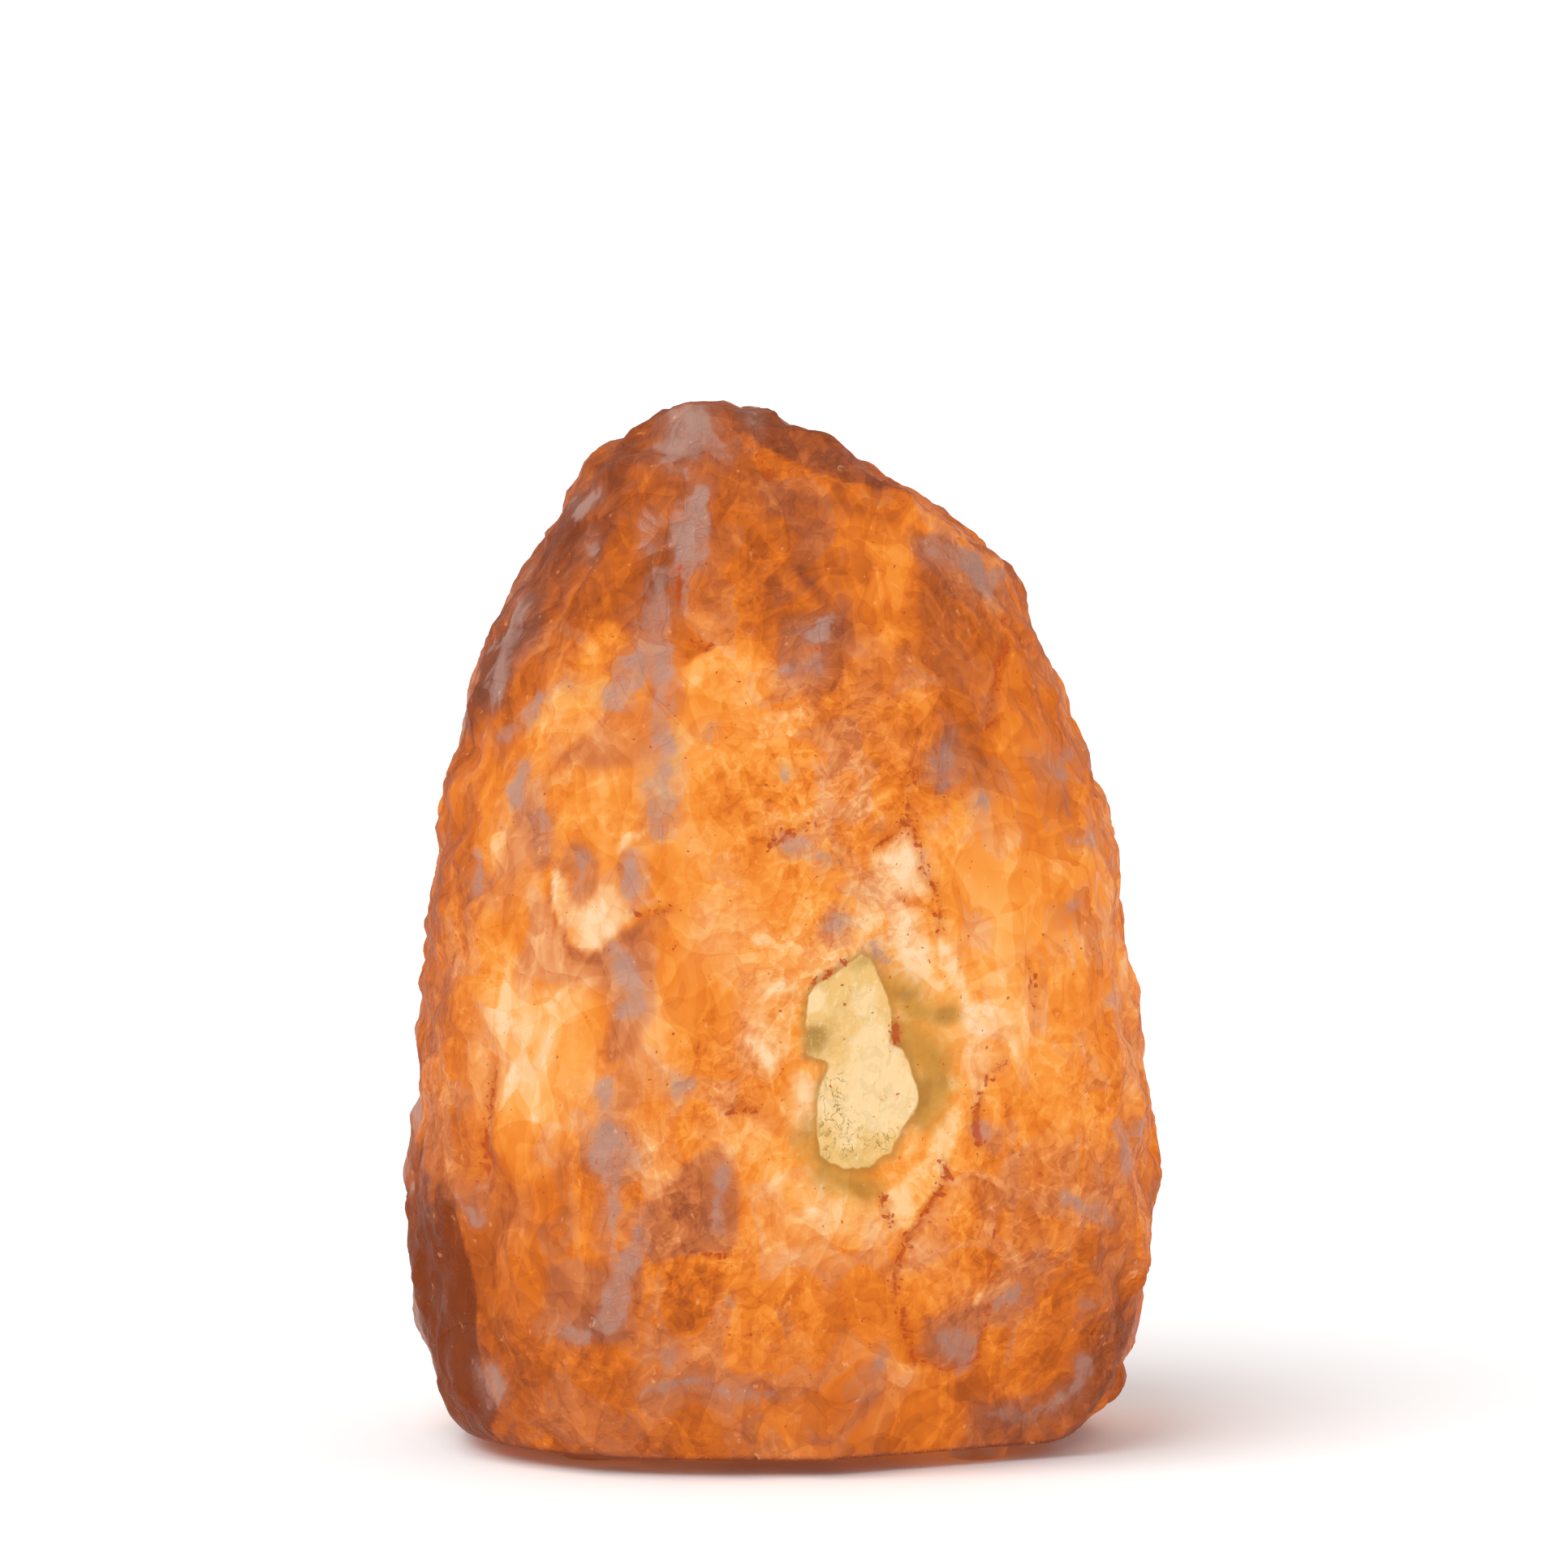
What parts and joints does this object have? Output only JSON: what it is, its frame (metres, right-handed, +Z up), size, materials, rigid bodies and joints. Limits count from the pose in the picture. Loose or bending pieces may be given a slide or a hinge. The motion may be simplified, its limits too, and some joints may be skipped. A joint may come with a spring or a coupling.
{
  "type": "salt crystal lamp",
  "caption": "Glowing rough rock salt table lamp, standing on its sawn underside, with a screw-base bulb on a clip-in lampholder inside its bore.",
  "frame": {"origin": "on the surface that the lamp stands on, under the middle of the crystal", "axes": "+Z up; -Y towards the face that the picture shows; +X to the viewer's right; the cord groove leaves towards +Y"},
  "size_m": [0.1434, 0.1214, 0.197],
  "materials": {
    "salt": "satin",
    "foot_rubber": "satin",
    "holder_plastic": "satin",
    "gland_plastic": "satin",
    "contact_ceramic": "gloss",
    "contact_brass": "satin",
    "spring_steel": "satin",
    "plated_screw": "gloss",
    "cap_nickel": "satin",
    "solder": "satin",
    "black_glass": "gloss",
    "bulb_glass": "gloss",
    "stem_glass": "gloss",
    "wire_nickel": "satin",
    "tungsten": "matte"
  },
  "bodies": {
    "crystal": {"salt_crystal": "salt", "foot_front_left": "foot_rubber", "foot_front_right": "foot_rubber", "foot_rear_left": "foot_rubber", "foot_rear_right": "foot_rubber"},
    "lampholder": {"cord_grip": "gland_plastic", "grip_screw": "plated_screw", "lock_washer": "spring_steel", "spring_clip": "spring_steel", "holder_cap": "holder_plastic", "holder_shell": "holder_plastic", "contact_block": "contact_ceramic", "thread_sleeve": "contact_brass", "centre_contact": "contact_brass", "contact_rivets": "contact_brass", "live_terminal": "contact_brass", "neutral_terminal": "contact_brass", "terminal_screws": "plated_screw"},
    "bulb_carrier": {"bulb_contact": "solder", "bulb_insulator": "black_glass"},
    "bulb": {"bulb_cap": "cap_nickel", "bulb_globe": "bulb_glass", "bulb_stem": "stem_glass", "bulb_leads": "wire_nickel", "filament": "tungsten", "filament_support": "wire_nickel"}
  },
  "joints": [
    {"name": "holder_pull", "type": "slide", "parent": "crystal", "child": "lampholder", "axis": [0, 0, -1], "range_m": [0, 0.115]},
    {"name": "bulb_lift", "type": "slide", "parent": "lampholder", "child": "bulb_carrier", "axis": [0, 0, 1], "range_m": [0, 0.0125]},
    {"name": "bulb_turn", "type": "hinge", "parent": "bulb_carrier", "child": "bulb", "pos_m": [0, 0, 0.06], "axis": [0, 0, 1], "range_deg": [0, 1591.2]}
  ],
  "couplings": [
    {"joint": "bulb_lift", "follows": "bulb_turn", "m_per_rad": 0.00044913}
  ]
}
